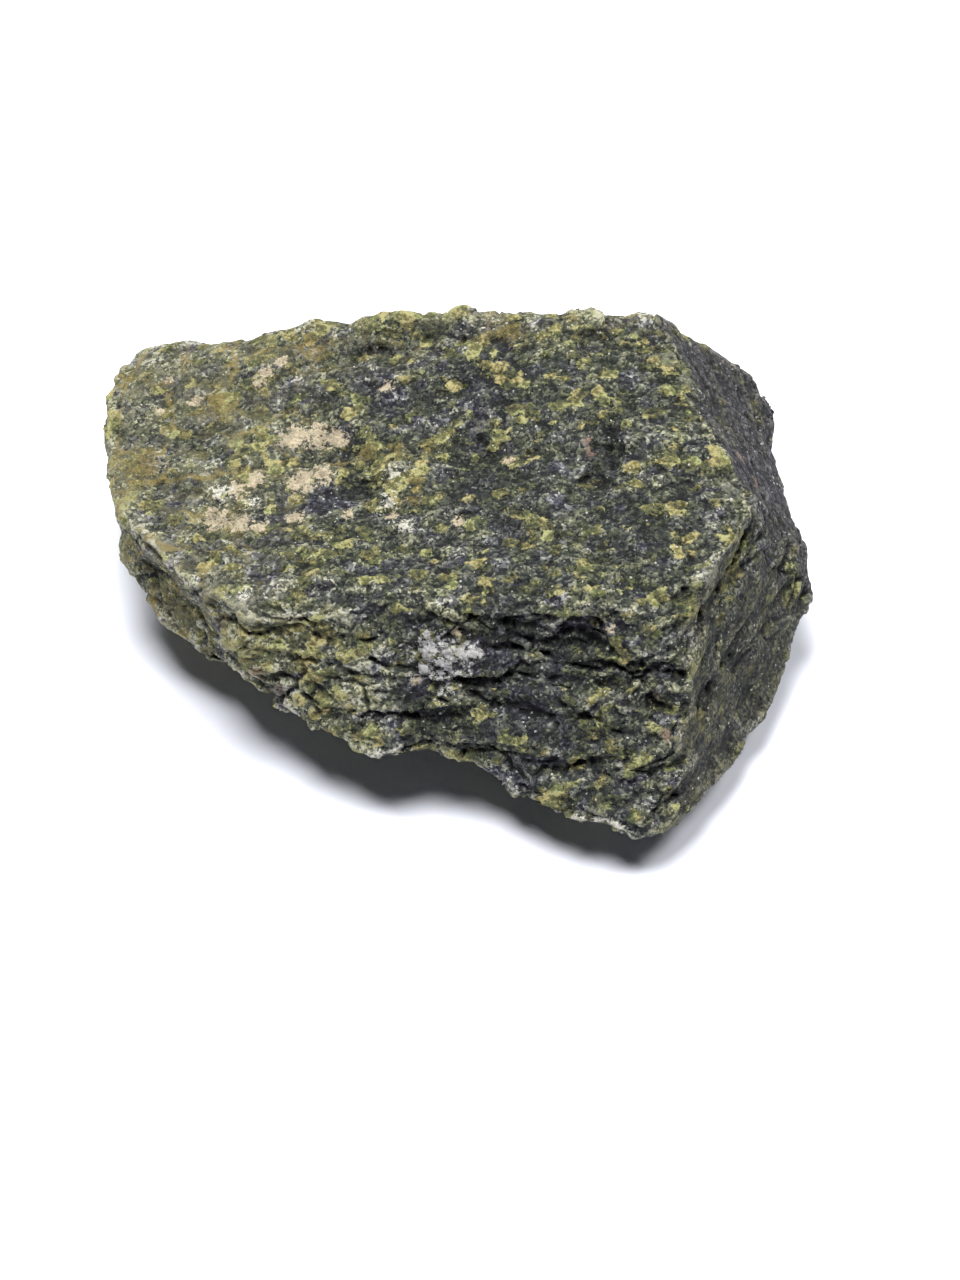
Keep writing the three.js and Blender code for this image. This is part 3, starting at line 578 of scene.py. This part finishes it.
    # Thin rusty veins cross the weathered end.
    sway = add(tree, "ShaderNodeTexNoise", {"Vector": bed, "Scale": 1 / 4.0, "Detail": 4.0}, "Color")
    swayed = add(tree, "ShaderNodeVectorMath", {0: sway, 1: (7.0, 7.0, 7.0), 2: stirred},
                 operation="MULTIPLY_ADD")
    vein = add(tree, "ShaderNodeTexVoronoi", {"Vector": swayed, "Scale": 1 / VEIN_SPACING}, "Distance",
               feature="DISTANCE_TO_EDGE")
    vein = add(tree, "ShaderNodeMapRange", {"Value": vein, "From Min": 0.06, "From Max": 0.01})
    patchy = add(tree, "ShaderNodeMapRange", {"Value": clouds, "From Min": 0.42, "From Max": 0.58})
    vein = add(tree, "ShaderNodeMath", {0: vein, 1: patchy}, operation="MULTIPLY")
    vein = add(tree, "ShaderNodeMath", {0: vein, 1: read["weathered"]}, operation="MULTIPLY")
    colour = add(tree, "ShaderNodeMix", {0: vein, 6: colour, 7: linear(RUSTY_VEIN)}, 2, data_type="RGBA")

    # The weathered end is stained a flat olive tan.
    stain = add(tree, "ShaderNodeTexNoise", {"Vector": bed, "Scale": 1 / STAIN, "Detail": 5.0,
                                             "Roughness": 0.75})
    stain = add(tree, "ShaderNodeMapRange", {"Value": stain, "From Min": 0.46, "From Max": 0.74})
    stain = add(tree, "ShaderNodeMath", {0: stain, 1: read["weathered"]}, operation="MULTIPLY")
    colour = add(tree, "ShaderNodeMix", {0: stain, 6: colour, 7: linear(OLIVE_TAN)}, 2, data_type="RGBA")

    # The slick rear face slid against its neighbour, which smeared it into streaks of dark grey.
    # The waxy face is a calm brown green.
    turned = add(tree, "ShaderNodeVectorRotate", {"Vector": bed, "Rotation": (0, 0, 0.35)},
                 rotation_type="EULER_XYZ")
    smear = add(tree, "ShaderNodeVectorMath", {0: turned, 1: (1.4, 0.3, 1.4)}, operation="MULTIPLY")
    smear = add(tree, "ShaderNodeTexNoise", {"Vector": smear, "Scale": 1.0, "Detail": 4.0, "Roughness": 0.7})
    smeared = add(tree, "ShaderNodeMath", {0: smear, 1: 1.7, 2: -0.68}, operation="MULTIPLY_ADD")
    # The streaks also take painted highlight and shade from the relief.
    for source, share in ((grain_tones[0], 0.4), (wear_highlight_and_shade, 0.9)):
        smeared = add(tree, "ShaderNodeMath", {0: source, 1: share, 2: smeared}, operation="MULTIPLY_ADD")
    slick = add(tree, "ShaderNodeValToRGB", {0: smeared}, stops=SLICK_GREY)
    share = add(tree, "ShaderNodeMath", {0: read["slick"], 1: 0.75}, operation="MULTIPLY")
    colour = add(tree, "ShaderNodeMix", {0: share, 6: colour, 7: slick}, 2, data_type="RGBA")
    waxy = add(tree, "ShaderNodeValToRGB", {0: smeared}, stops=WAXY_BROWN)
    share = add(tree, "ShaderNodeMath", {0: read["moss"], 1: 1.5}, operation="MULTIPLY")
    share = add(tree, "ShaderNodeMath", {0: read["waxy"], 1: share}, operation="SUBTRACT")
    share = add(tree, "ShaderNodeMath", {0: share, 1: 0.65}, operation="MULTIPLY", use_clamp=True)
    colour = add(tree, "ShaderNodeMix", {0: share, 6: colour, 7: waxy}, 2, data_type="RGBA")

    # Patches: each spot's reach is torn up by a noise, so that it comes out ragged and holed.
    tear = add(tree, "ShaderNodeTexNoise", {"Vector": stirred, "Scale": 1 / TEAR, "Detail": 5.0,
                                            "Roughness": 0.75})
    for name, (torn, kept, start, full, cover, low, high) in PATCHES.items():
        reach = add(tree, "ShaderNodeMath", {0: read[name], 1: kept}, operation="MULTIPLY")
        reach = add(tree, "ShaderNodeMath", {0: tear, 1: torn, 2: reach}, operation="MULTIPLY_ADD")
        reach = add(tree, "ShaderNodeMath", {0: read["standing"], 1: 0.6, 2: reach}, operation="MULTIPLY_ADD")
        patch = add(tree, "ShaderNodeMapRange", {"Value": reach, "From Min": start, "From Max": full,
                                                 "To Max": cover})
        within = add(tree, "ShaderNodeMath", {0: read[name], 1: 0.02}, operation="GREATER_THAN")
        patch = add(tree, "ShaderNodeMath", {0: patch, 1: within}, operation="MULTIPLY")
        crust = add(tree, "ShaderNodeMix", {0: grain_tones[2], 6: linear(low), 7: linear(high)}, 2,
                    data_type="RGBA")
        colour = add(tree, "ShaderNodeMix", {0: patch, 6: colour, 7: crust}, 2, data_type="RGBA")

    # Painted glints: pale specks where cleavage faces of single grains would catch the light, the more of
    # them where it glitters.
    bright = add(tree, "ShaderNodeMapRange", {"Value": read["glitter"], "From Max": 0.8, "To Min": 0.975,
                                              "To Max": 0.90})
    glint = add(tree, "ShaderNodeMath", {0: grain_tones[2], 1: bright}, operation="GREATER_THAN")
    width = add(tree, "ShaderNodeMath", {0: grain_tones[0], 1: 0.35, 2: 0.12}, operation="MULTIPLY_ADD")
    small = add(tree, "ShaderNodeMath", {0: grain.node.outputs["Distance"], 1: width}, operation="LESS_THAN")
    glint = add(tree, "ShaderNodeMath", {0: glint, 1: small}, operation="MULTIPLY")
    colour = add(tree, "ShaderNodeMix", {0: glint, 6: colour, 7: linear(PAINTED_GLINT_WHITE)}, 2, data_type="RGBA")

    # Painted shade keeps the hollows dark.
    shade = add(tree, "ShaderNodeMapRange", {"Value": read["standing"], "From Min": -0.5, "From Max": 0.02,
                                             "To Min": 0.3})
    colour = add(tree, "ShaderNodeMix", {0: 1.0, 6: colour, 7: shade}, 2, data_type="RGBA",
                 blend_type="MULTIPLY")

    # Dull rock, apart from single grains that are glossier. Grains are round, and flecks stand proud.
    roughness = add(tree, "ShaderNodeMapRange", {"Value": grain_tones[1], "From Min": 0.86, "From Max": 1.0,
                                                 "To Min": 0.82, "To Max": 0.4})
    lump = add(tree, "ShaderNodeTexNoise", {"Vector": stirred, "Scale": 1 / 0.5, "Detail": 3.0,
                                            "Roughness": 0.6})
    lump = add(tree, "ShaderNodeMath", {0: grain.node.outputs["Distance"], 1: -0.5, 2: lump},
               operation="MULTIPLY_ADD")
    lump = add(tree, "ShaderNodeMath", {0: fleck, 1: 0.7, 2: lump}, operation="MULTIPLY_ADD")
    bump = add(tree, "ShaderNodeBump", {"Height": lump, "Strength": 0.9, "Distance": 0.35 * MM})
    shader = add(tree, "ShaderNodeBsdfPrincipled",
                 {"Base Color": colour, "Roughness": roughness, "IOR": 1.56, "Specular IOR Level": 0.25,
                  "Normal": bump})
    add(tree, "ShaderNodeOutputMaterial", {"Surface": shader})
    return material


relief = stone.modifiers.new("broken surface", "NODES")
relief.node_group = relief_tree()
finish_input = relief.node_group.interface.items_tree["Finish"].identifier
relief[finish_input] = serpentinite()
bake_modifiers(stone)
stone.data.calc_loop_triangles()
fewer = stone.modifiers.new("fewer faces", "DECIMATE")
fewer.ratio = MOST_TRIANGLES / len(stone.data.loop_triangles)
bake_modifiers(stone)
move_to(stone.data, places_of(stone.data)[0])
mark_edges(stone.data, "standing", EDGE_ROUNDS)
mark_edges(stone.data, "rim", RIM_ROUNDS)
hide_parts(STONE_NODE)
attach(stone, "root")

# ---- the table ---------------------------------------------------------------------------------
# A smooth, matt white card that the stone lies on, and a round wall of lit white paper well away
# from it. The wall is there for the camera alone: it gives the stone no light and no shadow.

SHEET_REACH = 3.0  # half of the card's side, in metres
WALL_RADIUS = 0.6
WALL_HEIGHT = 0.8
CARD_WHITE = "#eceffa"
PAPER_WHITE = "#ffffff"


def white_sheet():
    """The card, level with the stone's foot."""
    mesh = bpy.data.meshes.new("white_sheet")
    sides = [(-SHEET_REACH, -SHEET_REACH, 0), (SHEET_REACH, -SHEET_REACH, 0),
             (SHEET_REACH, SHEET_REACH, 0), (-SHEET_REACH, SHEET_REACH, 0)]
    mesh.from_pydata(sides, [], [(0, 1, 2, 3)])
    sheet = bpy.data.objects.new("white_sheet", mesh)
    scene.collection.objects.link(sheet)
    material = bpy.data.materials.new("matt_white_card")
    material.use_nodes = True
    card = material.node_tree.nodes["Principled BSDF"]
    card.inputs["Base Color"].default_value = linear(CARD_WHITE)
    card.inputs["Roughness"].default_value = 0.9
    mesh.materials.append(material)


def white_wall():
    """The wall, which only the camera sees."""
    mesh = bpy.data.meshes.new("white_wall")
    ring = bmesh.new()
    bmesh.ops.create_cone(ring, segments=96, radius1=WALL_RADIUS, radius2=WALL_RADIUS,
                          depth=WALL_HEIGHT)
    bmesh.ops.translate(ring, verts=ring.verts, vec=(0, 0, WALL_HEIGHT / 2))
    ring.to_mesh(mesh)
    ring.free()
    wall = bpy.data.objects.new("white_wall", mesh)
    scene.collection.objects.link(wall)
    wall.visible_diffuse = False
    wall.visible_glossy = False
    wall.visible_shadow = False
    material = bpy.data.materials.new("lit_white_paper")
    material.use_nodes = True
    tree = material.node_tree
    tree.nodes.clear()
    glow = add(tree, "ShaderNodeEmission", {"Color": linear(PAPER_WHITE)})
    add(tree, "ShaderNodeOutputMaterial", {"Surface": glow})
    mesh.materials.append(material)


white_sheet()
white_wall()

# ---- the light ---------------------------------------------------------------------------------
# A soft lamp high above, a little behind the stone and to its left, a weaker one on the right that
# lifts its shadow, a weak low one before the stone, and a faint blue light all round.

WARM_WHITE = (1.0, 0.99, 0.97)
COOL_WHITE = (0.96, 0.92, 1.0)
LAMPS = {  # place, width and depth in metres, power in watts, colour
    "high_lamp": (Vector((-0.11, 0.15, 0.88)), 0.42, 0.46, 13.9, WARM_WHITE),
    "right_lamp": (Vector((0.50, 0.20, 0.70)), 0.25, 0.25, 4.8, WARM_WHITE),
    "low_fill": (Vector((-0.35, -0.88, 0.022)), 1.2, 0.036, 4.1, COOL_WHITE),
}
ROOM_BLUE = (0.60, 0.68, 1.0, 1.0)
ROOM_LIGHT = 0.027


def soft_light():
    """The lamps, each turned to the stone's foot, and the room's own light."""
    for name, (place, width, depth, power, colour) in LAMPS.items():
        lamp = bpy.data.lights.new(name, "AREA")
        lamp.shape = "RECTANGLE"
        lamp.size = width
        lamp.size_y = depth
        lamp.energy = power
        lamp.color = colour
        held = bpy.data.objects.new(name, lamp)
        held.location = place
        held.rotation_euler = (-place).to_track_quat("-Z", "Y").to_euler()
        held.visible_camera = False
        scene.collection.objects.link(held)
    room = bpy.data.worlds.new("faint_blue_room")
    room.use_nodes = True
    sky = room.node_tree.nodes["Background"]
    sky.inputs["Color"].default_value = ROOM_BLUE
    sky.inputs["Strength"].default_value = ROOM_LIGHT
    scene.world = room


soft_light()

# ---- the camera --------------------------------------------------------------------------------
# A portrait frame, looking down on the stone's front at fifty degrees from arm's length.

VIEW_DOWN = math.radians(50)
VIEW_DISTANCE = 0.450
VIEW_CENTRE = Vector((0.00395, -0.0091, 0.012))


def portrait_camera():
    """A portrait lens that looks at the stone's middle."""
    lens = bpy.data.cameras.new("camera")
    lens.lens = 85
    lens.sensor_width = 36
    lens.clip_start = 0.01
    lens.clip_end = 20
    camera = bpy.data.objects.new("camera", lens)
    camera.location = VIEW_CENTRE + VIEW_DISTANCE * Vector((0, -math.cos(VIEW_DOWN), math.sin(VIEW_DOWN)))
    camera.rotation_euler = (math.pi / 2 - VIEW_DOWN, 0, 0)
    scene.collection.objects.link(camera)
    scene.camera = camera
    scene.view_settings.view_transform = "Standard"


portrait_camera()
